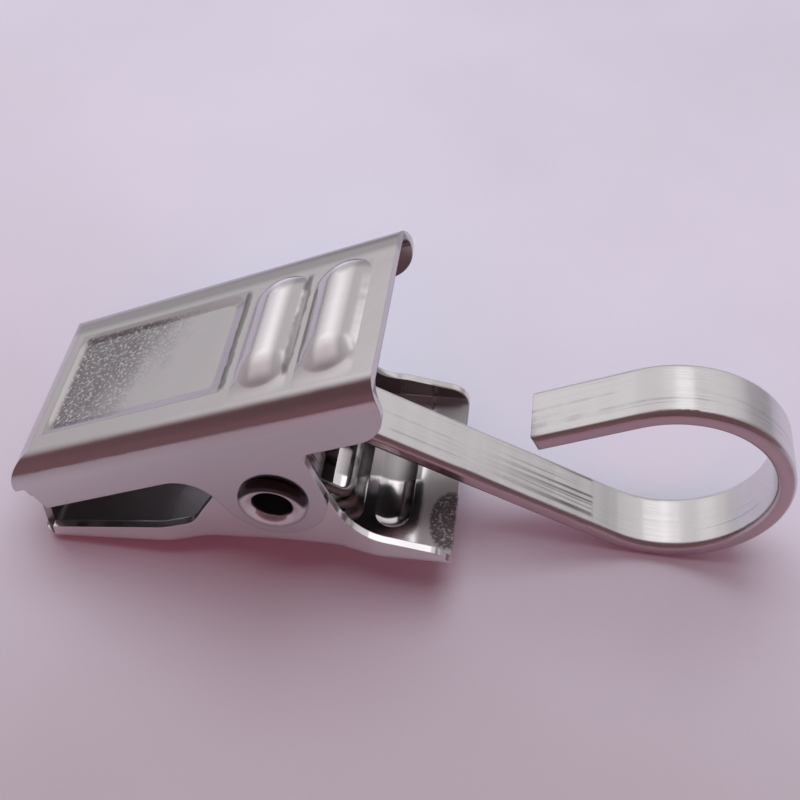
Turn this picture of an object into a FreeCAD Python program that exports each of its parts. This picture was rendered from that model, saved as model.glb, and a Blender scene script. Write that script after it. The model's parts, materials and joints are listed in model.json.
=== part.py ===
import FreeCAD, Part
import math
import os

V = FreeCAD.Vector

# A sprung curtain clip with a swinging strip hook, lying on a table.
# X runs from the jaw tips to the hook, Y along the pivot, Z up. Every piece is drawn with the pivot
# at the origin; at the end all of them move together to the bottom centre of the whole clip.

# Sheet and fits (mm, degrees)
SHEET = 0.6
JAW_WIDTH = 16.0
SIDE_PLAY = 0.06
PIVOT_PLAY = 0.05
LIP_GAP = 0.15
CORNER_SLIT = 0.35

# Hollow rivet
RIVET_R = 1.95
BORE_R = 1.33
RIM_R = 2.45
RIM_T = 0.6

# Upper jaw, along its own plate
UPPER_TILT = 28.1
PLATE_RISE = 7.9
PLATE_FRONT = 17.85
PLATE_REAR = 11.2
BEND_R = 1.85
LIP_DROP = 3.2
FLANGE_DROP = 4.15
FLANGE_CORNER_R = 2.8
EAR_R = 3.7
EAR_LEAN = 8.0
EAR_BLEND_R = 2.6
EAR_NOTCH_R = 0.8

# Pressed panel and cross ribs
PANEL_START = 2.6
PANEL_END = -0.4
PANEL_HALF = 4.8
PANEL_DEPTH = 0.22
PANEL_CORNER_R = 1.6
PANEL_WALL = 0.8
RIB_FIRST = 2.7
RIB_PITCH = 4.85
RIB_HALF = 2.15
RIB_RISE = 0.7
RIB_REACH = 5.2

# Lower jaw, seen from the side
LOWER_FRONT = 17.6
LOWER_DEPTH = 8.95
FLOOR_RUN = 17.1
FLOOR_SLOPE = 8.32
HANDLE_END = 12.5
HANDLE_SLOPE = 4.0
FLOOR_BEND_R = 30.0
LOWER_BEND_R = 1.1
RIM_RISE_FRONT = 1.79
RIM_SLOPE = 12.2
LOWER_EAR_R = 3.3
LOWER_EAR_FRONT_ANGLE = 153.0
LOWER_EAR_REAR_ANGLE = 25.0
LOWER_BLEND_R = 1.2
SWEEP_R = 3.5
WING_RISE = 1.57
WING_SLOPE = -7.5
WING_CORNER_R = 1.8
JOG_RUN = 3.0
JOG_FRONT = -5.2
JOG_REAR = 4.2
JOG_R = 5.0
GRIP_FIRST = 4.4
GRIP_PITCH = 3.5
GRIP_HALF = 1.5
GRIP_RISE = 0.4
GRIP_REACH = 5.4

# Strip hook, along its own shank
STRIP_W = 4.65
STRIP_T = 1.35
STRIP_EDGE_R = 0.45
HOOK_TILT = -23.7
SHANK_LIFT = 2.92
SHANK_RUN = 25.25
RING_R = 6.9
RING_ANGLE = 233.6
TIP_RUN = 7.45
EYE_PLAY = 0.05
EYE_ANGLE = 290.0
NECK_ANGLE = 10.0
NECK_R = 4.0

# Spring wire
WIRE_D = 0.75
COIL_PLAY = 0.12
COIL_GAP = 0.05
COIL_COUNT = 3
LEG_GAP = 0.06
UPPER_LEG = 6.5
BRIDGE_R = 1.0


def side(a, b):
    return V(a, 0, b)


def outline(corners, place=side):
    """Closed flat wire through (a, b, radius) corners, each corner rounded by its radius."""
    count = len(corners)
    arcs = []
    for i in range(count):
        here = place(corners[i][0], corners[i][1])
        back = place(corners[i - 1][0], corners[i - 1][1]) - here
        ahead = place(corners[(i + 1) % count][0], corners[(i + 1) % count][1]) - here
        back.normalize()
        ahead.normalize()
        half = back.getAngle(ahead) / 2
        radius = corners[i][2]
        reach = radius / math.tan(half)
        inward = back + ahead
        if radius > 0:
            inward.normalize()
        middle = here + inward * (radius / math.sin(half) - radius)
        arcs.append((here + back * reach, middle, here + ahead * reach, radius))
    edges = []
    for i in range(count):
        start, middle, end, radius = arcs[i]
        if radius > 0:
            edges.append(Part.Arc(start, middle, end).toShape())
        following = arcs[(i + 1) % count][0]
        if end.distanceToPoint(following) > 1e-6:
            edges.append(Part.makeLine(end, following))
    return Part.Wire(edges)


def prism(corners, half_width):
    """Side-view outline carried straight across the clip."""
    face = Part.Face(outline(corners))
    face.translate(V(0, -half_width, 0))
    return face.extrude(V(0, 2 * half_width, 0))


def block(x0, x1, y0, y1, z0, z1):
    return Part.makeBox(x1 - x0, y1 - y0, z1 - z0, V(x0, y0, z0))


def both_sides(shape):
    return shape.fuse(shape.mirror(V(0, 0, 0), V(0, 1, 0)))


def cross_bore(radius, half_width):
    return Part.makeCylinder(radius, 2 * half_width, V(0, -half_width, 0), V(0, 1, 0))


def turned(shape, degrees):
    """Tilt about the pivot; a positive angle lifts the hook side."""
    shape.rotate(V(0, 0, 0), V(0, 1, 0), -degrees)
    return shape


def polar(radius, degrees):
    return radius * math.cos(math.radians(degrees)), radius * math.sin(math.radians(degrees))


def tangent_corner(radius, first, second):
    """Where the tangents of a circle round the pivot at two angles cross; the same radius rounds it."""
    reach = radius / math.cos(math.radians((second - first) / 2))
    a, b = polar(reach, (first + second) / 2)
    return a, b, radius


def tangent_meets(radius, angle, height, slope):
    """Where the circle's tangent at an angle crosses the line height + slope * a."""
    n_a, n_b = polar(1, angle)
    a = (radius - n_b * height) / (n_a + n_b * slope)
    return a, height + slope * a


def rib(half, rise, reach):
    """A pressed cross rib with round ends on a sheet whose outer face is z = 0: the bead and its groove."""
    radius = (half ** 2 + rise ** 2) / (2 * rise)
    run = reach - half
    pair = []
    for shrink in (0, SHEET):
        low = V(0, -run, rise - radius)
        high = V(0, run, rise - radius)
        bar = Part.makeCylinder(radius - shrink, 2 * run, low, V(0, 1, 0))
        bar = bar.multiFuse([Part.makeSphere(radius - shrink, low), Part.makeSphere(radius - shrink, high)])
        foot = -SHEET / 2 - shrink
        pair.append(bar.common(block(-radius, radius, -run - radius, run + radius, foot, rise)))
    return pair


def soft_slab(x0, x1, half, low, high, draft):
    """A slab with rounded corners whose walls lean inwards towards the bottom."""
    wires = []
    for level, inset in ((low, draft), (high, 0)):
        radius = PANEL_CORNER_R - inset
        corners = [(x0 + inset, -half + inset, radius), (x1 - inset, -half + inset, radius),
                   (x1 - inset, half - inset, radius), (x0 + inset, half - inset, radius)]
        wires.append(outline(corners, lambda a, b: V(a, b, level)))
    return Part.makeLoft(wires, True, True)


def upper_shell():
    """Plate, front lip and both sides folded down from one sheet."""
    half = JAW_WIDTH / 2
    deep = -2 * EAR_R
    shapes = []
    for inset, beyond in ((0, 0), (SHEET, 1)):
        top = PLATE_RISE - inset
        wide = half - inset
        body = block(-PLATE_FRONT + inset, PLATE_REAR + beyond, -wide, wide, deep - beyond, top)
        folds = []
        for edge in body.Edges:
            low = min(v.Z for v in edge.Vertexes)
            at_rear = min(v.X for v in edge.Vertexes) > 0
            if abs(low - top) < 1e-6 and not at_rear:
                folds.append(edge)
        shapes.append(body.makeFillet(BEND_R - inset, folds))
    return shapes[0].cut(shapes[1])


def upper_side():
    """Side-view cut of the upper jaw: lip, flange edge and ear."""
    edge = PLATE_RISE - FLANGE_DROP
    start = -PLATE_FRONT + SHEET + CORNER_SLIT
    above = PLATE_RISE + 2 * RIB_RISE
    ear_front = tangent_meets(EAR_R, 180 + EAR_LEAN, edge, 0)
    ear_rear = tangent_meets(EAR_R, -EAR_LEAN, edge, 0)
    return [(PLATE_REAR, above, 0), (-PLATE_FRONT - 1, above, 0),
            (-PLATE_FRONT - 1, PLATE_RISE - LIP_DROP, 0), (start, PLATE_RISE - LIP_DROP, 0),
            (start, edge, 0), (ear_front[0], ear_front[1], EAR_BLEND_R),
            tangent_corner(EAR_R, 180 + EAR_LEAN, 270), tangent_corner(EAR_R, 270, 360 - EAR_LEAN),
            (ear_rear[0], ear_rear[1], EAR_NOTCH_R), (PLATE_REAR, edge, FLANGE_CORNER_R)]


def upper_jaw():
    half = JAW_WIDTH / 2
    jaw = upper_shell().common(prism(upper_side(), JAW_WIDTH))
    slit_end = -PLATE_FRONT + SHEET + CORNER_SLIT
    slit = block(-PLATE_FRONT - 1, slit_end, half - SHEET, half + 1, -EAR_R, PLATE_RISE - BEND_R)
    jaw = jaw.cut(both_sides(slit))
    jaw = jaw.cut(cross_bore(RIVET_R + PIVOT_PLAY, JAW_WIDTH))

    front = -PLATE_FRONT + PANEL_START
    floor = PLATE_RISE - PANEL_DEPTH
    pad = soft_slab(front - SHEET / 2, PANEL_END + SHEET / 2, PANEL_HALF + SHEET / 2,
                    floor - SHEET, floor, PANEL_WALL)
    pocket = soft_slab(front, PANEL_END, PANEL_HALF, floor, PLATE_RISE, PANEL_WALL)
    jaw = jaw.fuse(pad).cut(pocket)

    for number in range(2):
        bead, groove = rib(RIB_HALF, RIB_RISE, RIB_REACH)
        spot = V(RIB_FIRST + number * RIB_PITCH, 0, PLATE_RISE)
        bead.translate(spot)
        groove.translate(spot)
        jaw = jaw.fuse(bead).cut(groove)
    return turned(jaw.removeSplitter(), UPPER_TILT)


def lower_floor():
    """Corners of the lower plate's underside: lip, start of the handle, tail."""
    turn = FLOOR_RUN - LOWER_FRONT
    level = -LOWER_DEPTH + FLOOR_RUN * math.tan(math.radians(FLOOR_SLOPE))
    tail = level + (HANDLE_END - turn) * math.tan(math.radians(HANDLE_SLOPE))
    return [(-LOWER_FRONT, -LOWER_DEPTH), (turn, level), (HANDLE_END, tail)]


def handle_under(x):
    """Height of the handle's underside."""
    start = lower_floor()[1]
    return start[1] + (x - start[0]) * math.tan(math.radians(HANDLE_SLOPE))


def lifted(points, distance):
    """The inner corners of a chain of straight stretches moved sideways, to the left of its direction."""
    lines = []
    for (xa, za), (xb, zb) in zip(points, points[1:]):
        length = math.hypot(xb - xa, zb - za)
        n = (-(zb - za) / length, (xb - xa) / length)
        lines.append((n, n[0] * xa + n[1] * za + distance))
    moved = []
    for (n, c), (m, d) in zip(lines, lines[1:]):
        det = n[0] * m[1] - n[1] * m[0]
        moved.append(((c * m[1] - d * n[1]) / det, (n[0] * d - m[0] * c) / det))
    return moved


def ear_half():
    """Outer half width of the lower jaw where it passes between the upper jaw's ears."""
    return JAW_WIDTH / 2 - SHEET - SIDE_PLAY


def lower_plan(inset, beyond):
    """Half of the plan outline, front to tail: full width, drawn in past the ears, full width again."""
    wide = JAW_WIDTH / 2 - inset
    slim = ear_half() - inset
    return [(-LOWER_FRONT + inset, wide, 0), (JOG_FRONT - JOG_RUN, wide, JOG_R), (JOG_FRONT, slim, JOG_R),
            (JOG_REAR, slim, JOG_R), (JOG_REAR + JOG_RUN, wide, JOG_R), (HANDLE_END + beyond, wide, 0)]


def trough(inset, beyond):
    """The lower jaw filled in solid; the sheet is what lies between two of these."""
    above = 2 * LOWER_EAR_R
    points = lower_floor()
    chain = lifted([(points[0][0], above)] + points, inset)
    end = handle_under(HANDLE_END + beyond) + inset / math.cos(math.radians(HANDLE_SLOPE))
    profile = [(chain[0][0], above, 0), (chain[0][0], chain[0][1], LOWER_BEND_R - inset),
               (chain[1][0], chain[1][1], FLOOR_BEND_R + inset),
               (HANDLE_END + beyond, end, 0), (HANDLE_END + beyond, above, 0)]
    half = lower_plan(inset, beyond)
    plan = half + [(x, -y, r) for x, y, r in reversed(half)]
    base = Part.Face(outline(plan, lambda a, b: V(a, b, -2 * LOWER_DEPTH)))
    body = prism(profile, JAW_WIDTH).common(base.extrude(V(0, 0, 4 * LOWER_DEPTH)))
    folds = []
    for edge in body.Edges:
        middle = edge.valueAt((edge.FirstParameter + edge.LastParameter) / 2)
        along = abs(edge.Vertexes[0].X - edge.Vertexes[-1].X) > 1e-3
        if along and middle.z < 0 and abs(middle.y) > 1e-3:
            folds.append(edge)
    return body.makeFillet(LOWER_BEND_R - inset, folds)


def lip_top():
    """The lower lip ends a gap under the upper lip's edge."""
    drop = math.radians(UPPER_TILT)
    return (PLATE_RISE - LIP_DROP) * math.cos(drop) - PLATE_FRONT * math.sin(drop) - LIP_GAP


def lower_side():
    """Side-view cut of the lower jaw: lip, low rim, ear, sweep and handle rim."""
    below = -2 * LOWER_DEPTH
    start = -LOWER_FRONT + SHEET + CORNER_SLIT
    slope = math.tan(math.radians(RIM_SLOPE))
    base = -LOWER_DEPTH + RIM_RISE_FRONT + slope * LOWER_FRONT
    ear_front = tangent_meets(LOWER_EAR_R, LOWER_EAR_FRONT_ANGLE, base, slope)
    fall = math.tan(math.radians(WING_SLOPE))
    tail = handle_under(HANDLE_END) + WING_RISE
    ear_rear = tangent_meets(LOWER_EAR_R, LOWER_EAR_REAR_ANGLE, tail - fall * HANDLE_END, fall)
    middle = (LOWER_EAR_FRONT_ANGLE + LOWER_EAR_REAR_ANGLE) / 2
    return [(-LOWER_FRONT - 1, below, 0), (HANDLE_END, below, 0),
            (HANDLE_END, tail, WING_CORNER_R), (ear_rear[0], ear_rear[1], SWEEP_R),
            tangent_corner(LOWER_EAR_R, LOWER_EAR_REAR_ANGLE, middle),
            tangent_corner(LOWER_EAR_R, middle, LOWER_EAR_FRONT_ANGLE),
            (ear_front[0], ear_front[1], LOWER_BLEND_R), (start, base + slope * start, 0),
            (start, lip_top(), 0), (-LOWER_FRONT - 1, lip_top(), 0)]


def lower_jaw():
    half = JAW_WIDTH / 2
    jaw = trough(0, 1).cut(trough(SHEET, 2)).common(prism(lower_side(), JAW_WIDTH))
    slit_end = -LOWER_FRONT + SHEET + CORNER_SLIT
    slit = block(-LOWER_FRONT - 1, slit_end, half - LOWER_BEND_R, half + 1,
                 -LOWER_DEPTH + LOWER_BEND_R, LOWER_EAR_R)
    jaw = jaw.cut(both_sides(slit))
    jaw = jaw.cut(cross_bore(RIVET_R + PIVOT_PLAY, JAW_WIDTH))
    for number in range(2):
        x = GRIP_FIRST + number * GRIP_PITCH
        bead, groove = rib(GRIP_HALF, GRIP_RISE, GRIP_REACH)
        for pressed in (bead, groove):
            pressed.rotate(V(0, 0, 0), V(1, 0, 0), 180)
            turned(pressed, HANDLE_SLOPE)
            pressed.translate(V(x, 0, handle_under(x)))
        jaw = jaw.fuse(bead).cut(groove)
    return jaw.removeSplitter()


def pivot_rivet():
    """Hollow rivet, both rims rolled outwards over the upper jaw's ears."""
    inner = JAW_WIDTH / 2 + PIVOT_PLAY
    outer = inner + RIM_T
    roll = 0.49 * (RIM_R - BORE_R)
    corners = [(BORE_R, -outer, roll), (RIM_R, -outer, roll), (RIM_R, -inner, 0),
               (RIVET_R, -inner, 0), (RIVET_R, inner, 0), (RIM_R, inner, 0),
               (RIM_R, outer, roll), (BORE_R, outer, roll)]
    wire = outline(corners, lambda a, b: V(a, b, 0))
    return Part.Face(wire).revolve(V(0, 0, 0), V(0, 1, 0), 360)


def ribbon(start, heading, moves, thickness):
    """Flat face of a strip bent by moves: a number is a straight run, a pair is (turn, radius)."""
    left = []
    right = []
    at = V(start[0], 0, start[1])
    for move in moves:
        aim = V(math.cos(math.radians(heading)), 0, math.sin(math.radians(heading)))
        over = V(-aim.z, 0, aim.x) * (thickness / 2)
        if isinstance(move, tuple):
            turn, radius = move
            sign = math.copysign(1, turn)
            centre = at + V(-aim.z, 0, aim.x) * (radius * sign)
            spots = []
            for share in (0, 0.5, 1):
                angle = math.radians(heading - 90 * sign + turn * share)
                spots.append(V(math.cos(angle), 0, math.sin(angle)))
            near = [centre + s * (radius - thickness / 2) for s in spots]
            far = [centre + s * (radius + thickness / 2) for s in spots]
            if turn > 0:
                left.append(Part.Arc(*near).toShape())
                right.append(Part.Arc(*far).toShape())
            else:
                left.append(Part.Arc(*far).toShape())
                right.append(Part.Arc(*near).toShape())
            at = centre + spots[2] * radius
            heading += turn
        else:
            ahead = at + aim * move
            left.append(Part.makeLine(at + over, ahead + over))
            right.append(Part.makeLine(at - over, ahead - over))
            at = ahead
    first = Part.makeLine(left[0].firstVertex().Point, right[0].firstVertex().Point)
    last = Part.makeLine(left[-1].lastVertex().Point, right[-1].lastVertex().Point)
    return Part.Face(Part.Wire(Part.__sortEdges__(left + right + [first, last])))


def hook():
    """One strip: eye round the rivet, neck, shank, ring and tip."""
    eye = RIVET_R + EYE_PLAY + STRIP_T / 2
    lean = math.radians(NECK_ANGLE)
    climb = SHANK_LIFT - eye * math.cos(lean) - NECK_R * (1 - math.cos(lean))
    neck = climb / math.sin(lean)
    reached = -eye * math.sin(lean) + climb / math.tan(lean) + NECK_R * math.sin(lean)
    begin = 90 + NECK_ANGLE + EYE_ANGLE
    moves = [(-EYE_ANGLE, eye), neck, (-NECK_ANGLE, NECK_R), SHANK_RUN - reached,
             (RING_ANGLE, RING_R + STRIP_T / 2), TIP_RUN]
    face = ribbon(polar(eye, begin), NECK_ANGLE + EYE_ANGLE, moves, STRIP_T)
    face.translate(V(0, -STRIP_W / 2, 0))
    strip = face.extrude(V(0, STRIP_W, 0))
    rounded = []
    for edge in strip.Edges:
        ys = [v.Y for v in edge.Vertexes]
        if abs(ys[0] - ys[-1]) < 1e-6:
            rounded.append(edge)
    strip = strip.makeFillet(STRIP_EDGE_R, rounded)
    return turned(strip, HOOK_TILT)


def leg_tangent(end, radius, upper):
    """Angle on the coil where a straight leg to a point leaves it."""
    spread = math.degrees(math.acos(radius / math.hypot(end[0], end[1])))
    toward = math.degrees(math.atan2(end[1], end[0]))
    return toward + spread if upper else toward - spread


def torsion_spring():
    """Half of the wire, from its upper leg to the middle of the bridge in a grip rib, and its mirror."""
    radius = RIVET_R + COIL_PLAY + WIRE_D / 2
    pitch = WIRE_D + COIL_GAP
    drift = pitch / (2 * math.pi * radius)
    tilt = math.radians(UPPER_TILT)
    rest = PLATE_RISE - SHEET - WIRE_D / 2 - LEG_GAP
    upper_end = (UPPER_LEG * math.cos(tilt) - rest * math.sin(tilt),
                 UPPER_LEG * math.sin(tilt) + rest * math.cos(tilt))
    groove = handle_under(GRIP_FIRST) + SHEET - GRIP_RISE
    lower_end = (GRIP_FIRST, groove + WIRE_D / 2 + LEG_GAP)
    start = leg_tangent(upper_end, radius, True)
    stop = leg_tangent(lower_end, radius, False) + 360 * (COIL_COUNT + 1)
    upper_run = math.sqrt(upper_end[0] ** 2 + upper_end[1] ** 2 - radius ** 2)
    lower_run = math.sqrt(lower_end[0] ** 2 + lower_end[1] ** 2 - radius ** 2)
    length = pitch * (stop - start) / 360
    middle = -(ear_half() - SHEET + STRIP_W / 2) / 2
    inner = middle + (length + upper_run * drift - lower_run * drift) / 2
    outer = inner - length
    tip = outer - upper_run * drift

    on = polar(radius, start)
    off = polar(radius, stop)
    top = V(upper_end[0], tip, upper_end[1])
    coil_on = V(on[0], outer, on[1])
    coil_off = V(off[0], inner, off[1])
    low = V(lower_end[0], inner + lower_run * drift, lower_end[1])
    down = coil_on - top
    away = low - coil_off
    down.normalize()
    away.normalize()

    helix = Part.makeHelix(pitch, inner - outer, radius, 0, True)
    helix.rotate(V(0, 0, 0), V(1, 0, 0), -90)
    helix.rotate(V(0, 0, 0), V(0, 1, 0), -start)
    helix.translate(V(0, outer, 0))
    ring = Part.Wire(Part.makeCircle(WIRE_D / 2, coil_on, down))
    coil = Part.Wire(helix).makePipeShell([ring], True, True)
    upper_leg = Part.makeCylinder(WIRE_D / 2, top.distanceToPoint(coil_on), top, down)

    square = V(0, 1, 0).getAngle(away)
    reach = BRIDGE_R * math.tan(square / 2)
    bend_on = low - away * reach
    bend_off = low + V(0, reach, 0)
    lower_leg = Part.makeCylinder(WIRE_D / 2, coil_off.distanceToPoint(bend_on), coil_off, away)
    axis = away.cross(V(0, 1, 0))
    axis.normalize()
    disc = Part.Face(Part.Wire(Part.makeCircle(WIRE_D / 2, bend_on, away)))
    bend = disc.revolve(bend_on + axis.cross(away) * BRIDGE_R, axis, math.degrees(square))
    bridge = Part.makeCylinder(WIRE_D / 2, -bend_off.y, bend_off, V(0, 1, 0))
    half = coil.multiFuse([upper_leg, lower_leg, bend, bridge])
    return half.fuse(half.mirror(V(0, 0, 0), V(0, 1, 0))).removeSplitter()


pieces = {
    "upper_jaw": upper_jaw(),
    "lower_jaw": lower_jaw(),
    "pivot_rivet": pivot_rivet(),
    "torsion_spring": torsion_spring(),
    "hook": hook(),
}

# The clip stands on its lowest point, with the middle of its length at the origin.
whole = Part.makeCompound(list(pieces.values())).optimalBoundingBox(False, False)
stand = V(-(whole.XMin + whole.XMax) / 2, 0, -whole.ZMin)

os.makedirs("parts", exist_ok=True)
for name, shape in pieces.items():
    shape.translate(stand)
    shape.exportStep("parts/" + name + ".step")
    print(name, "solids", len(shape.Solids), "valid", shape.isValid(), "volume %.2f" % shape.Volume)
print("pivot at x %.3f z %.3f" % (stand.x, stand.z))
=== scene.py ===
# %% [markdown]
# A sprung curtain clip lies on a pale table: two folded jaws on a hollow rivet, a double coil spring
# between them, and an open strip hook that swings on the same rivet. The solids come from the CAD
# model, which also says how the pieces move. This lesson dresses them as bright plated sheet, satin
# strip and drawn wire, and sets up the table, the light and the camera.

# %% Load the solids
import bmesh
import bpy
import json
import math
from mathutils import Matrix, Vector


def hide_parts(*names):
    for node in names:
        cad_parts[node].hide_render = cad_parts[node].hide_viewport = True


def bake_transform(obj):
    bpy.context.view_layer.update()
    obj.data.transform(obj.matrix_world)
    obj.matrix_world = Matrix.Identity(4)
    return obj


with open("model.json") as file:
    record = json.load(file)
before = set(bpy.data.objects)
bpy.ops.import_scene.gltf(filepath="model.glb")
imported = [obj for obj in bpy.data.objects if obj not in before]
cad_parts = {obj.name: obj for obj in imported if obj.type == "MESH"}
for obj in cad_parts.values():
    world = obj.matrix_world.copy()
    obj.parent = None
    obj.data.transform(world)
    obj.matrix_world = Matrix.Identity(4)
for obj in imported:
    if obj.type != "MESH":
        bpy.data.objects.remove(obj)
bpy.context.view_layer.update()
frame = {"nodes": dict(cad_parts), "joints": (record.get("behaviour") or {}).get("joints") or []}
MM = 0.001
joints = {joint["name"]: joint for joint in frame["joints"]}
pivot = Vector(joints["jaw_pivot"]["pos_m"])
print("pieces", sorted(frame["nodes"]), "pivot", [round(v, 5) for v in pivot])

# %% [markdown]
# The picture was taken from above the near side of the clip, a little to the right, with the camera
# close by. The place and the angles below are measured from the rivet's middle. A camera could also
# be aimed with a constraint, but fixed angles keep the small lean of the hand-held shot.

# %% Camera
CAMERA_FROM_PIVOT = Vector((11.60, -51.11, 61.94)) * MM
CAMERA_TURN = 4.58
CAMERA_DOWN = 49.10
CAMERA_ROLL = 3.80
CAMERA_LENS = 50.24
CAMERA_NEAREST = 1 * MM

eye = bpy.data.cameras.new("camera")
eye.lens = CAMERA_LENS
eye.clip_start = CAMERA_NEAREST
camera = bpy.data.objects.new("camera", eye)
bpy.context.scene.collection.objects.link(camera)
turn = Matrix.Rotation(math.radians(CAMERA_TURN), 4, "Z")
down = Matrix.Rotation(math.radians(90 - CAMERA_DOWN), 4, "X")
roll = Matrix.Rotation(math.radians(CAMERA_ROLL), 4, "Z")
camera.matrix_world = Matrix.Translation(pivot + CAMERA_FROM_PIVOT) @ turn @ down @ roll
bpy.context.scene.camera = camera
print("camera at", [round(v, 4) for v in camera.location])

# %% [markdown]
# Every finish below is a small graph of shader nodes. The nodes could be wired one by one, but the
# graphs stay readable when they are written as arithmetic: a Tone is one value that varies over the
# surface, and an operator between two Tones adds a Math node.

# %% Shader arithmetic
class Tone:
    """One shader value that takes part in Python arithmetic."""

    def __init__(self, tree, socket):
        self.tree = tree
        self.socket = socket

    def math(self, operation, first, second):
        step = self.tree.nodes.new("ShaderNodeMath")
        step.operation = operation
        for slot, value in zip(step.inputs, (first, second)):
            if isinstance(value, Tone):
                self.tree.links.new(value.socket, slot)
            else:
                slot.default_value = value
        return Tone(self.tree, step.outputs[0])

    def __add__(self, other):
        return self.math("ADD", self, other)

    def __radd__(self, other):
        return self.math("ADD", other, self)

    def __sub__(self, other):
        return self.math("SUBTRACT", self, other)

    def __rsub__(self, other):
        return self.math("SUBTRACT", other, self)

    def __mul__(self, other):
        return self.math("MULTIPLY", self, other)

    def __rmul__(self, other):
        return self.math("MULTIPLY", other, self)

    def at_least(self, lowest):
        return self.math("MAXIMUM", self, lowest)


print("tones add, subtract and multiply")

# %% [markdown]
# A Graph makes any other node with one method, settings first and sockets after. Most masks of this
# clip are soft steps, bands and strips about the middle, so those three have methods of their own.

# %% Graph of nodes
class Graph:
    """A tree of shader nodes, made one node at a time."""

    def __init__(self, tree):
        self.tree = tree

    def node(self, kind, settings, sockets, result=0):
        made = self.tree.nodes.new(kind)
        for name, value in settings.items():
            setattr(made, name, value)
        self.feed(made, sockets)
        return Tone(self.tree, made.outputs[result])

    def feed(self, made, sockets):
        for name, value in sockets.items():
            if isinstance(value, Tone):
                self.tree.links.new(value.socket, made.inputs[name])
            else:
                made.inputs[name].default_value = value

    def part(self, vector, axis):
        return self.node("ShaderNodeSeparateXYZ", {}, {"Vector": vector}, axis)

    def smooth(self, value, low, high):
        """0 below low, 1 above high and a soft step between."""
        sockets = {"Value": value, "From Min": low, "From Max": high}
        return self.node("ShaderNodeMapRange", {"interpolation_type": "SMOOTHSTEP"}, sockets)

    def band(self, value, start, full, end, gone):
        """1 between full and end, 0 outside start and gone."""
        return self.smooth(value, start, full) * (1 - self.smooth(value, end, gone))

    def about(self, value, full, gone):
        """1 within full on either side of zero, 0 beyond gone."""
        return 1 - self.smooth(value * value, full ** 2, gone ** 2)

    def mix(self, share, first, second):
        """A colour between two colours."""
        sockets = {0: share, 6: first, 7: second}
        return self.node("ShaderNodeMix", {"data_type": "RGBA"}, sockets, 2)


print("graph makes nodes, steps, bands and mixes")

# %% [markdown]
# A Finish is the graph of one metal or other material. Its noise and its masks are placed in the
# clip's own space, so they need no unwrapping. Real sheet has no razor edges: a Bevel node under the
# fine relief lets the edges catch light as rounded ones do, which is lighter than rounding the mesh.

# %% Graph of one material
EDGE_RADIUS = 0.09 * MM
EDGE_SAMPLES = 6


class Finish(Graph):
    """The graph of one material."""

    def __init__(self, name):
        self.material = bpy.data.materials.new(name)
        self.material.use_nodes = True
        super().__init__(self.material.node_tree)
        self.shader = self.tree.nodes["Principled BSDF"]
        self.place = self.node("ShaderNodeTexCoord", {}, {}, "Object")

    def noise(self, stretch, detail=3.0):
        """Noise with its own grain per metre along X, Y and Z."""
        spread = {0: self.place, 1: stretch}
        where = self.node("ShaderNodeVectorMath", {"operation": "MULTIPLY"}, spread)
        return self.node("ShaderNodeTexNoise", {}, {"Vector": where, "Scale": 1.0, "Detail": detail})

    def across(self):
        """Distance from the clip's middle plane, positive on the far side."""
        return self.part(self.place, "Y")

    def tilted(self, degrees):
        """Distance along and above a line through the rivet's axis that climbs towards the hook."""
        x = self.part(self.place, "X") - pivot.x
        z = self.part(self.place, "Z") - pivot.z
        c, s = math.cos(math.radians(degrees)), math.sin(math.radians(degrees))
        return x * c + z * s, z * c - x * s

    def relief(self, height, depth, strength):
        """Fine height, in parts of the depth, laid over softened edges."""
        soft = self.node("ShaderNodeBevel", {"samples": EDGE_SAMPLES}, {"Radius": EDGE_RADIUS})
        sockets = {"Height": height, "Distance": depth, "Strength": strength, "Normal": soft}
        return self.node("ShaderNodeBump", {}, sockets)

    def metal(self, colour, roughness, normal):
        """Feed the shader of a bare metal and give its material."""
        sockets = {"Base Color": colour, "Roughness": roughness, "Metallic": 1.0, "Normal": normal}
        self.feed(self.shader, sockets)
        print("finish", self.material.name)
        return self.material


print("edges softened over", round(EDGE_RADIUS / MM, 2), "mm")

# %% [markdown]
# The front of the sunk panel kept a grain from the press, and it fades towards the rivet. There the
# plate is pitted and dark between the glints. A patch at the near corner of the lower handle gets the
# same pitted relief, and its dark speckle is a painted dark reflection. The places could be painted by
# hand, but limits in millimetres, measured along the plate and across it, are easy to set against the
# solids.

# %% Grained panel and painted dark patch
def mm(*sizes):
    return tuple(size * MM for size in sizes)


UPPER_TILT = 28.1
UPPER_FACE = mm(7.3, 7.5)
PANEL_START = mm(-15.0, -14.5)
PANEL_SIDES = mm(4.3, 4.65)
PANEL_FADE = mm(-12.0, -5.0)
FADE_LEAN = 0.45
RAGGED_GRAIN = (500, 500, 500)
RAGGED_SPREAD = 6 * MM
TAIL_PATCH = Vector((12.0, -4.2)) * MM
TAIL_PATCH_SIZE = Vector((1.5, 2.7)) * MM
TAIL_PATCH_EDGE = (0.7, 1.05)


def panel_grain(finish):
    along, above = finish.tilted(UPPER_TILT)
    across = finish.across()
    ragged = (finish.noise(RAGGED_GRAIN) - 0.5) * RAGGED_SPREAD
    fade = 1 - finish.smooth(along + ragged - across * FADE_LEAN, *PANEL_FADE)
    sunk = finish.about(across, *PANEL_SIDES) * finish.smooth(along, *PANEL_START)
    return fade * sunk * finish.smooth(above, *UPPER_FACE)


def tail_dark_reflection(finish):
    # Painted dark reflection: a speckled dark patch at the near corner of the handle.
    x = (finish.part(finish.place, "X") - (pivot.x + TAIL_PATCH.x)) * (1 / TAIL_PATCH_SIZE.x)
    y = (finish.across() - TAIL_PATCH.y) * (1 / TAIL_PATCH_SIZE.y)
    return 1 - finish.smooth(x * x + y * y, *TAIL_PATCH_EDGE)


print("grain on the panel from", round(PANEL_START[0] / MM, 1), "mm and on the tail")
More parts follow.
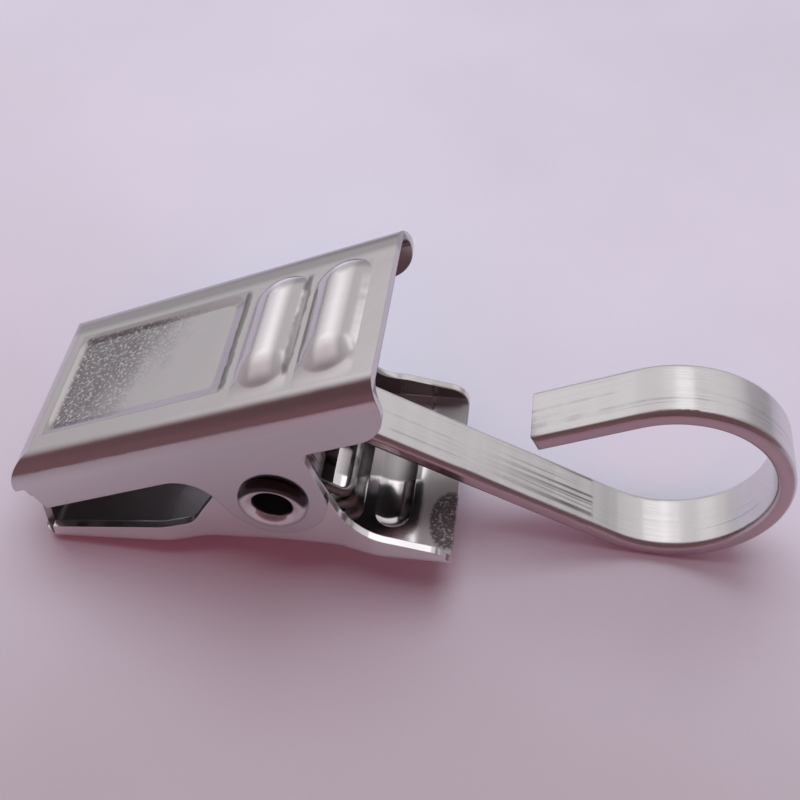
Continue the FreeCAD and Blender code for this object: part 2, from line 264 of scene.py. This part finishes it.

# %% [markdown]
# Painted shade darkens the crease behind the panel, the crease between the ribs, the panel's walls,
# the rear slopes of the ribs and the far border. A node that finds hollows by itself would be slow and
# would miss the border, so these places are drawn from the same tilted distances that the grain uses.
# The creases wander a little.

# %% Painted shade in the creases
CREASES = mm(-0.2, 4.75)
CREASE_HALF = 0.32 * MM
CREASE_ENDS = mm(4.3, 4.9)
CREASE_GRAIN = (700, 700, 700)
CREASE_WANDER = 0.5 * MM
RIBS = mm(2.7, 7.55)
RIB_REAR = mm(0.1, 1.0, 1.9, 2.2)
REAR_SHADE = 0.15
PANEL_RIM = mm(-15.4, -15.3, -0.3, -0.2)
PANEL_RIM_SIDES = mm(4.85, 4.95)
PANEL_FLOOR = mm(-14.5, -14.3, -1.3, -1.1)
PANEL_FLOOR_SIDES = mm(3.9, 4.1)
WALL_SHADE = 0.3
FAR_BORDER = mm(5.0, 5.7)
BORDER_SHADE = 0.6


def panel_walls(finish, along, across):
    """1 on the sloping walls round the sunk panel."""
    rim = finish.band(along, *PANEL_RIM) * finish.about(across, *PANEL_RIM_SIDES)
    return rim - finish.band(along, *PANEL_FLOOR) * finish.about(across, *PANEL_FLOOR_SIDES)


def upper_painted_shade(finish):
    along, above = finish.tilted(UPPER_TILT)
    across = finish.across()
    uneven = (finish.noise(CREASE_GRAIN) - 0.5) * CREASE_WANDER
    within = finish.about(across, *CREASE_ENDS)
    # Painted shade along the far border, on the panel's walls, in the creases and on the rear slopes of
    # the ribs.
    darkening = finish.smooth(across, *FAR_BORDER) * BORDER_SHADE
    darkening = darkening + panel_walls(finish, along, across) * WALL_SHADE
    for spot in CREASES:
        darkening = darkening + finish.about(along + uneven - spot, 0, CREASE_HALF) * within
    for spot in RIBS:
        darkening = darkening + finish.band(along - spot, *RIB_REAR) * within * REAR_SHADE
    return darkening * finish.smooth(above, *UPPER_FACE)


print("creases at", [round(spot / MM, 2) for spot in CREASES])

# %% [markdown]
# Thumbs press on the two cross ribs. Handling has dulled the plate round them, and their crowns get a
# painted highlight, a brighter plate colour along each crest. The near ends of the real ribs also run
# out longer and softer than the pressed form of the solids. Another mesh could show that, but a relief
# is enough: it adds the long run-out and takes away the round end, both written as the parabola that
# the rib's section follows.

# %% Crowns and ends of the ribs
CROWN_SHIFT = 0.25 * MM
CROWN_WIDTH = mm(0.3, 1.0)
CROWN_LENGTH = mm(4.2, 5.0)
RIB_HALF = 2.15 * MM
RIB_RISE = 0.7 * MM
RIB_STRAIGHT = 3.05 * MM
RUN_OUT = mm(-6.1, -2.4)
RUN_OUT_END = mm(-2.4, -2.2)


def upper_crown_highlight(finish):
    along = finish.tilted(UPPER_TILT)[0]
    # Painted highlight: a brighter plate colour along the crest of each rib.
    crown_highlights = sum(finish.about(along - (spot + CROWN_SHIFT), *CROWN_WIDTH) for spot in RIBS)
    return crown_highlights * finish.about(finish.across(), *CROWN_LENGTH)


def upper_ends(finish):
    """Height that lets the near ends of the ribs run out softly."""
    along = finish.tilted(UPPER_TILT)[0]
    across = finish.across()
    run_out = finish.smooth(across, *RUN_OUT)
    end = ((across + RIB_STRAIGHT) * (-1 / RIB_HALF)).at_least(0)
    height = 0
    for spot in RIBS:
        off = (along - spot) * (1 / RIB_HALF)
        crown = (1 - off * off) * RIB_RISE
        pressed = crown - end * end * RIB_RISE
        height = height + crown.at_least(0) * run_out - pressed.at_least(0)
    return height * (1 - finish.smooth(across, *RUN_OUT_END))


print("ribs", [round(spot / MM, 2) for spot in RIBS], "rise", round(RIB_RISE / MM, 2), "mm")

# %% [markdown]
# The insides get painted shade and are matt: all of the upper jaw's underside, and in the lower jaw
# the mouth, the far wing and the floor under the strip. The end of the handle is matt but not dark.
# So each inside gives two masks, one for painted shade and one for matt.

# %% Painted shade and matt insides
INSIDE_SIDES = mm(7.3, 7.4)
UPPER_UNDER = mm(7.3, 7.4)
FLOOR_TILT = 8.32
FLOOR_FACE = mm(-6.0, -5.8)
MOUTH_END = mm(-10.5, -8.0)
FAR_WING = mm(4.0, 5.0, 7.5, 7.6)
HANDLE_START = mm(2.0, 3.0)
SHADE_SIDE = mm(-0.9, -0.6)
SHADE_END = mm(8.6, 8.8)
TAIL_START = mm(8.7, 9.4)
TAIL_MATT = 1.6


def upper_shade_and_matt(finish):
    above = finish.tilted(UPPER_TILT)[1]
    within = finish.about(finish.across(), *INSIDE_SIDES)
    # Painted shade on the whole underside of the upper jaw.
    inside_shade = within * (1 - finish.smooth(above, *UPPER_UNDER))
    return inside_shade, inside_shade


def lower_shade_and_matt(finish):
    along, above = finish.tilted(FLOOR_TILT)
    across = finish.across()
    within = finish.about(across, *INSIDE_SIDES)
    mouth = (1 - finish.smooth(along, *MOUTH_END)) * finish.smooth(above, *FLOOR_FACE)
    handle = finish.smooth(along, *HANDLE_START)
    shade = finish.smooth(across, *SHADE_SIDE) * (1 - finish.smooth(along, *SHADE_END))
    # Painted shade in the mouth, the far wing and the floor under the strip; the tail is only matt.
    inside_shade = within * (mouth + shade * handle)
    wing = finish.band(across, *FAR_WING) * handle * (1 - shade)
    tail = finish.smooth(along, *TAIL_START) * within
    return inside_shade + wing, inside_shade + tail * TAIL_MATT


print("insides dull up to", round(INSIDE_SIDES[0] / MM, 1), "mm from the middle")

# %% [markdown]
# The jaws are pressed from sheet steel and nickel plated. Plate is close to a mirror, so nearly all of
# its look comes from the slight waviness of the sheet and from a haze that changes a little from
# place to place. A picture of real plate could be laid on, but it would have to be unwrapped and would
# repeat. Here noise makes the sheet, and the masks above say where it is pitted or matt and where
# painted shade, a painted dark reflection and painted highlights go.

# %% Plated sheet
NICKEL = (0.80, 0.775, 0.775, 1)
NICKEL_WORN = (0.62, 0.60, 0.605, 1)
NICKEL_HIGHLIGHT = (0.97, 0.95, 0.955, 1)
NICKEL_DULL = (0.56, 0.54, 0.54, 1)
NICKEL_PIT_AND_SHADE = (0.20, 0.185, 0.19, 1)
HAZE_GRAIN = (150, 150, 150)
HAZE_STEP = (0.35, 0.75)
HAZE_SHARE = 0.25
WAVE_GRAIN = (320, 320, 320)
PRESS_GRAIN = (4300, 4300, 4300)
PRESS_HEIGHT = 0.006
PIT_HEIGHT = 0.5
FLECK_STEP = (0.32, 0.52)
FLECK_SHARE = 0.85
PAINTED_SHADE_SHARE = 0.8
INSIDE_SHADE_SHARE = 0.6
PLATE_ROUGH = 0.10
PIT_ROUGH = 0.12
MATT_ROUGH = 0.25
PLATE_DEPTH = 0.06 * MM
PLATE_RELIEF = 0.55
ENDS_PER_METRE = 28000


def nothing(finish):
    """Stands in for a mask that a jaw does not have."""
    return 0


def plated_sheet(name, metal, haze_rough, grain_and_reflection, shade_and_matt,
                 highlighted=nothing, shaded=nothing, eased=nothing):
    finish = Finish(name)
    haze = finish.smooth(finish.noise(HAZE_GRAIN, 4.0), *HAZE_STEP)
    wave = finish.noise(WAVE_GRAIN, 2.0)
    grain = finish.noise(PRESS_GRAIN, 2.0)
    pits_and_reflection = grain_and_reflection(finish)
    inside_shade, matt = shade_and_matt(finish)
    flecks_and_reflection = finish.smooth(grain, *FLECK_STEP) * pits_and_reflection
    plain = finish.mix(haze * HAZE_SHARE, metal, NICKEL_DULL)
    plain = finish.mix(highlighted(finish), plain, NICKEL_HIGHLIGHT)
    # Pits, painted shade and a painted dark reflection darken the plate here, and painted shade of the
    # insides below.
    darkening = flecks_and_reflection * FLECK_SHARE + shaded(finish) * PAINTED_SHADE_SHARE
    darkened = finish.mix(darkening, plain, NICKEL_PIT_AND_SHADE)
    height = wave + grain * (PRESS_HEIGHT + pits_and_reflection * PIT_HEIGHT) + eased(finish) * ENDS_PER_METRE
    return finish.metal(
        finish.mix(inside_shade * INSIDE_SHADE_SHARE, darkened, NICKEL_PIT_AND_SHADE),
        PLATE_ROUGH + haze * haze_rough + pits_and_reflection * PIT_ROUGH + matt * MATT_ROUGH,
        finish.relief(height, PLATE_DEPTH, PLATE_RELIEF),
    )


upper_finish = plated_sheet("plated_upper", NICKEL_WORN, 0.10, panel_grain, upper_shade_and_matt,
                            upper_crown_highlight, upper_painted_shade, upper_ends)
lower_finish = plated_sheet("plated_lower", NICKEL, 0.08, tail_dark_reflection, lower_shade_and_matt)

# %% [markdown]
# The hook is cut from drawn strip and only tumbled, so it is satin and keeps the drawing marks. They
# run along the strip wherever it bends. The strip always lies in the clip's middle plane, so noise
# that is fine across the clip and coarse along it follows the bends without any unwrapping. Deeper
# scratches show as dark lines where the shank runs into the ring. The sheared sides get a painted
# dark reddish reflection. The underside is matt, and gets painted shade as far as it sits inside the
# clip.

# %% Drawn strip
STRIP_STEEL = (0.76, 0.745, 0.745, 1)
STRIP_DARK = (0.25, 0.235, 0.24, 1)
STRIP_UNDER_SHADE = (0.10, 0.09, 0.09, 1)
STRIP_SIDE_REFLECTION = (0.52, 0.39, 0.41, 1)
STRIP_FACE = mm(2.205, 2.305)
SHANK_TILT = -23.7
SHANK_TOP = mm(4.2, 4.7)
SHANK_UNDER = mm(2.3, 2.7)
SHANK_WORN = mm(12.5, 22.0, 22.8, 23.2)
UNDER_SHADE_END = mm(11.8, 12.6)
UNDER_SHADE_SHARE = 0.9
MARK_GRAIN = (70, 5200, 70)
DEEP_GRAIN = (40, 3000, 40)
DEEP_HEIGHT = 1.2
WORN_HEIGHT = 2
LINE_STEP = (0.50, 0.60)
LINE_SHARE = 0.75
FAINT_STEP = (0.58, 0.70)
FAINT_SHARE = 0.3
CLOUD_GRAIN = (260, 260, 260)
CLOUD_STEP = (0.42, 0.58)
CLOUD_SHARE = 0.12
KINK_GRAIN = (480, 25, 480)
KINK_HEIGHT = 12
STRIP_ROUGH = 0.19
MARK_ROUGH = 0.12
LINE_ROUGH = 0.12
UNDER_ROUGH = 0.45
STRIP_DEPTH = 0.012 * MM
STRIP_RELIEF = 0.6


def drawn_strip(name):
    finish = Finish(name)
    marks = finish.noise(MARK_GRAIN, 3.0)
    deep = finish.noise(DEEP_GRAIN, 2.0)
    cloud = finish.noise(CLOUD_GRAIN, 3.0)
    kinks = finish.noise(KINK_GRAIN, 1.0)
    along, above = finish.tilted(SHANK_TILT)
    shank = 1 - finish.smooth(above, *SHANK_TOP)
    worn = shank * finish.band(along, *SHANK_WORN)
    lines = finish.smooth(deep, *LINE_STEP) * worn
    faint = finish.smooth(deep, *FAINT_STEP) * finish.smooth(cloud, *CLOUD_STEP)
    below = 1 - finish.smooth(above, *SHANK_UNDER)
    # Painted shade on the underside as far as it sits inside the clip.
    under = below * (1 - finish.smooth(along, *UNDER_SHADE_END))
    scored = lines * LINE_SHARE + faint * FAINT_SHARE + cloud * CLOUD_SHARE
    drawn = finish.mix(scored, STRIP_STEEL, STRIP_DARK)
    # Painted dark reddish reflection on the sheared sides.
    painted_sides = finish.mix(finish.about(finish.across(), *STRIP_FACE), STRIP_SIDE_REFLECTION, drawn)
    height = marks + deep * (DEEP_HEIGHT + worn * WORN_HEIGHT) + kinks * KINK_HEIGHT
    return finish.metal(
        finish.mix(under * UNDER_SHADE_SHARE, painted_sides, STRIP_UNDER_SHADE),
        STRIP_ROUGH + marks * MARK_ROUGH + lines * LINE_ROUGH + below * UNDER_ROUGH,
        finish.relief(height, STRIP_DEPTH, STRIP_RELIEF),
    )


strip_finish = drawn_strip("drawn_strip")

# %% [markdown]
# The rivet is a tube whose ends were rolled over by a spinning tool. The tool left rings round the
# axis, so the marks depend on the distance from the axis alone. They could be cut into the mesh, but
# they are finer than its facets. The upper side of each rim gets a painted black reflection.

# %% Rolled rivet
RIVET_STEEL = (0.74, 0.71, 0.715, 1)
RIVET_DARK = (0.34, 0.31, 0.31, 1)
RIVET_RIM_REFLECTION = (0.05, 0.04, 0.04, 1)
RING_GRAIN = 9000
RIM_EDGE = mm(2.15, 2.4)
RIM_UPPER = mm(0, 0.7)
RIM_LEAN = 0.25
TARNISH_GRAIN = (600, 600, 600)
TARNISH_STEP = (0.4, 0.8)
TARNISH_SHARE = 0.4
TARNISH_HEIGHT = 2
TARNISH_ROUGH = 0.12
RIVET_ROUGH = 0.14
RIVET_DEPTH = 0.01 * MM
RIVET_RELIEF = 0.5


def rolled_rivet(name):
    finish = Finish(name)
    vector = "ShaderNodeVectorMath"
    middle = finish.node(vector, {"operation": "SUBTRACT"}, {0: finish.place, 1: pivot})
    flat = finish.node(vector, {"operation": "MULTIPLY"}, {0: middle, 1: (1, 0, 1)})
    radius = finish.node(vector, {"operation": "LENGTH"}, {0: flat}, "Value")
    turned = {"W": radius * RING_GRAIN, "Scale": 1.0, "Detail": 2.0}
    rings = finish.node("ShaderNodeTexNoise", {"noise_dimensions": "1D"}, turned)
    tarnish = finish.noise(TARNISH_GRAIN, 3.0)
    height = finish.part(middle, "Z")
    rim = finish.smooth(radius + height * RIM_LEAN, *RIM_EDGE)
    # Painted black reflection on the upper side of the rims.
    crescent = rim * finish.smooth(height, *RIM_UPPER)
    share = finish.smooth(tarnish, *TARNISH_STEP) * TARNISH_SHARE
    steel = finish.mix(share, RIVET_STEEL, RIVET_DARK)
    return finish.metal(
        finish.mix(crescent, steel, RIVET_RIM_REFLECTION),
        RIVET_ROUGH + tarnish * TARNISH_ROUGH,
        finish.relief(rings + tarnish * TARNISH_HEIGHT, RIVET_DEPTH, RIVET_RELIEF),
    )


rivet_finish = rolled_rivet("rolled_rivet")

# %% [markdown]
# Spring wire is drawn through a die and left oily and grey. It is duller than the plated sheet, with
# darker patches where oil has dried. One noise makes both the colour and the roughness of a patch, so
# that they stay together.

# %% Spring wire
WIRE_STEEL = (0.40, 0.385, 0.38, 1)
WIRE_OIL = (0.12, 0.105, 0.10, 1)
OIL_GRAIN = (900, 900, 900)
OIL_STEP = (0.45, 0.75)
OIL_ROUGH = 0.2
DIE_GRAIN = (6000, 6000, 6000)
WIRE_ROUGH = 0.24
WIRE_DEPTH = 0.006 * MM
WIRE_RELIEF = 0.6


def spring_wire(name):
    finish = Finish(name)
    oil = finish.noise(OIL_GRAIN, 4.0)
    fine = finish.noise(DIE_GRAIN, 2.0)
    return finish.metal(
        finish.mix(finish.smooth(oil, *OIL_STEP), WIRE_STEEL, WIRE_OIL),
        WIRE_ROUGH + oil * OIL_ROUGH,
        finish.relief(fine + oil, WIRE_DEPTH, WIRE_RELIEF),
    )


wire_finish = spring_wire("spring_wire")

# %% [markdown]
# The jaws, the rivet and the hook are stiff, and their solids have the real shapes. New meshes could
# stand for them, but then the looks and the motion could drift apart. So the solids stay, and each
# gets its finish.

# %% Dress the solids
def dress(node, material):
    solid = frame["nodes"][node]
    solid.data.materials.clear()
    solid.data.materials.append(material)
    print("dressed", node, "with", material.name, "triangles", len(solid.data.polygons))


dress("upper_jaw", upper_finish)
dress("lower_jaw", lower_finish)
dress("pivot_rivet", rivet_finish)
dress("hook", strip_finish)

# %% [markdown]
# The spring twists when the jaws open: its bridge stays on the lower jaw, its two outer legs go with
# the upper jaw, and each coil winds up between them. A rigid copy would leave its seat, so the wire is
# cut into its two mirror halves.

# %% Spring halves
WELD_REACH = 0.0005 * MM


def spring_half(name, sign):
    mesh = frame["nodes"]["torsion_spring"].data.copy()
    mesh.name = name
    wire = bmesh.new()
    wire.from_mesh(mesh)
    everything = wire.verts[:] + wire.edges[:] + wire.faces[:]
    bmesh.ops.bisect_plane(wire, geom=everything, plane_co=(0, 0, 0), plane_no=(0, -sign, 0),
                           clear_outer=True)
    bmesh.ops.remove_doubles(wire, verts=wire.verts[:], dist=WELD_REACH)
    wire.to_mesh(mesh)
    wire.free()
    mesh.materials.clear()
    mesh.materials.append(wire_finish)
    mesh.shade_smooth()
    half = bpy.data.objects.new(name, mesh)
    bpy.context.scene.collection.objects.link(half)
    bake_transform(half)
    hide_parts("torsion_spring")
    print("wire", name, "triangles", len(mesh.polygons))


for name, sign in (("spring_near", -1), ("spring_far", 1)):
    spring_half(name, sign)

# %% [markdown]
# The clip lies on a matt lilac-white table top. One wide sheet is enough, because the camera looks
# down on it and no edge comes into view. A faint mottle keeps it from looking like flat paint, and
# painted shade makes it darker and warmer towards the viewer.

# %% Table
TABLE_HALF = 900 * MM
TABLE_CELLS = 24

top = bmesh.new()
bmesh.ops.create_grid(top, x_segments=TABLE_CELLS, y_segments=TABLE_CELLS, size=TABLE_HALF)
table_mesh = bpy.data.meshes.new("table")
top.to_mesh(table_mesh)
top.free()
table = bpy.data.objects.new("table", table_mesh)
bpy.context.scene.collection.objects.link(table)
print("table", round(2 * TABLE_HALF, 2), "m wide")

# %% Table top
TABLE_PALE = (0.70, 0.73, 0.85, 1)
TABLE_NEAR_SHADE = (0.41, 0.41, 0.455, 1)
MOTTLE_GRAIN = (16, 16, 16)
MOTTLE_STEP = (0.35, 0.65)
MOTTLE_SHARE = 0.2
NEAR_SHADE_SIDE = mm(-45, 35)
NEAR_SHADE_SHARE = 0.8
FIBRE_GRAIN = (2600, 2600, 2600)
FIBRE_DEPTH = 0.02 * MM
FIBRE_RELIEF = 0.3
FIBRE_ROUGH = 0.1
TABLE_ROUGH = 0.62

paper = Finish("table_top")
mottle = paper.smooth(paper.noise(MOTTLE_GRAIN, 4.0), *MOTTLE_STEP)
# Painted shade: the table darkens towards the viewer.
nearer = 1 - paper.smooth(paper.across(), *NEAR_SHADE_SIDE)
fibre = paper.noise(FIBRE_GRAIN, 3.0)
uneven = {"Height": fibre, "Distance": FIBRE_DEPTH, "Strength": FIBRE_RELIEF}
mottle_and_shade = mottle * MOTTLE_SHARE + nearer * NEAR_SHADE_SHARE
paper.feed(paper.shader, {
    "Base Color": paper.mix(mottle_and_shade, TABLE_PALE, TABLE_NEAR_SHADE),
    "Roughness": TABLE_ROUGH + fibre * FIBRE_ROUGH,
    "Normal": paper.node("ShaderNodeBump", {}, uneven),
})
table_mesh.materials.append(paper.material)
print("finish", paper.material.name)

# %% [markdown]
# A soft box hangs high behind the clip and lights the table, with a short shadow towards the viewer,
# and a weak red light from the front warms that shadow. A bare lamp would give hard shadows. The metal
# would mirror the two squares as white patches that the picture lacks, so it sees neither of them.

# %% Soft lights
SOFT_BOX_FROM_PIVOT = Vector((-30, 80, 340)) * MM
SOFT_BOX_SIZE = 340 * MM
SOFT_BOX_WATTS = 0.92
SOFT_BOX_COLOUR = (0.985, 0.975, 1.0)

FILL_FROM_PIVOT = Vector((-20, -260, 120)) * MM
FILL_SIZE = 220 * MM
FILL_WATTS = 0.29
FILL_COLOUR = (1.0, 0.14, 0.22)


def hang(name, place, size, watts, colour):
    """A square soft light aimed at the rivet; only matt surfaces see it."""
    lamp = bpy.data.lights.new(name, "AREA")
    lamp.shape = "SQUARE"
    lamp.size = size
    lamp.energy = watts
    lamp.color = colour
    box = bpy.data.objects.new(name, lamp)
    bpy.context.scene.collection.objects.link(box)
    box.location = pivot + place
    box.rotation_euler = (-place).to_track_quat("-Z", "Y").to_euler()
    box.visible_glossy = False
    print(name, "at", [round(v, 3) for v in box.location])


hang("soft_box", SOFT_BOX_FROM_PIVOT, SOFT_BOX_SIZE, SOFT_BOX_WATTS, SOFT_BOX_COLOUR)
hang("warm_fill", FILL_FROM_PIVOT, FILL_SIZE, FILL_WATTS, FILL_COLOUR)

# %% [markdown]
# Polished metal shows the room, so the room is part of the finish. It is dim and reddish on the
# viewer's side and pale at the back, paler still on the left, which the ribs mirror, and brightest in
# two places high up, which the ring mirrors. Walls and cards could be modelled, but a sky colour that
# depends on the direction alone gives the same reflections and casts no shadows.

# %% Room colours
BACK_LOW = (0.47, 0.45, 0.47, 1)
BACK_HIGH = (0.76, 0.73, 0.75, 1)
LEFT_LOW = (0.62, 0.595, 0.615, 1)
LEFT_HIGH = (0.95, 0.915, 0.94, 1)
FRONT_LOW = (0.20, 0.105, 0.12, 1)
FRONT_HIGH = (0.14, 0.078, 0.085, 1)
ROOM_DIM = (0.34, 0.325, 0.34, 1)
ROOM_BRIGHT = (1.40, 1.36, 1.40, 1)
BACK_RISE = (0.15, 0.50)
FRONT_RISE = (0.20, 0.55)
FRONT_TO_BACK = (0.0, 0.62)
LEFT_TO_MIDDLE = (-0.62, -0.46)
MIDDLE_TO_RIGHT = (0.50, 0.95)
BRIGHT_RISE = (0.45, 0.60)
BRIGHT_PLACES = (
    ((-0.36, -0.16, 0.30, 0.37), (0.44, 0.50, 0.60, 0.63)),
    ((-0.16, -0.06, 0.07, 0.12), (0.62, 0.65, 0.70, 0.72)),
)
DIM_PLACES = (
    ((0.12, 0.15, 0.26, 0.34), (0.62, 0.65, 0.70, 0.72)),
    ((0.74, 0.78, 0.84, 0.88), (0.40, 0.45, 0.70, 0.75)),
)
DIM_SHARE = 0.8
print("room with", len(BRIGHT_PLACES), "bright and", len(DIM_PLACES), "dim places")

# %% Room
room = bpy.data.worlds.new("room")
room.use_nodes = True
bpy.context.scene.world = room
walls = Graph(room.node_tree)
way = walls.node("ShaderNodeTexCoord", {}, {}, "Generated")
x, y, z = (walls.part(way, axis) for axis in "XYZ")

back = walls.mix(walls.smooth(z, *BACK_RISE), BACK_LOW, BACK_HIGH)
left = walls.mix(walls.smooth(z, *BACK_RISE), LEFT_LOW, LEFT_HIGH)
back = walls.mix(walls.smooth(x, *LEFT_TO_MIDDLE), left, back)
back = walls.mix(walls.smooth(x, *MIDDLE_TO_RIGHT), back, ROOM_DIM)
for sides, depth in DIM_PLACES:
    dim = walls.band(x, *sides) * walls.band(y, *depth)
    back = walls.mix(dim * DIM_SHARE, back, ROOM_DIM)
front = walls.mix(walls.smooth(z, *FRONT_RISE), FRONT_LOW, FRONT_HIGH)
seen = walls.mix(walls.smooth(y, *FRONT_TO_BACK), front, back)
for sides, depth in BRIGHT_PLACES:
    high = walls.band(x, *sides) * walls.band(y, *depth) * walls.smooth(z, *BRIGHT_RISE)
    seen = walls.mix(high, seen, ROOM_BRIGHT)
walls.feed(room.node_tree.nodes["Background"], {"Color": seen})
bpy.context.scene.view_settings.view_transform = "Standard"
print("room made of", len(room.node_tree.nodes), "nodes")
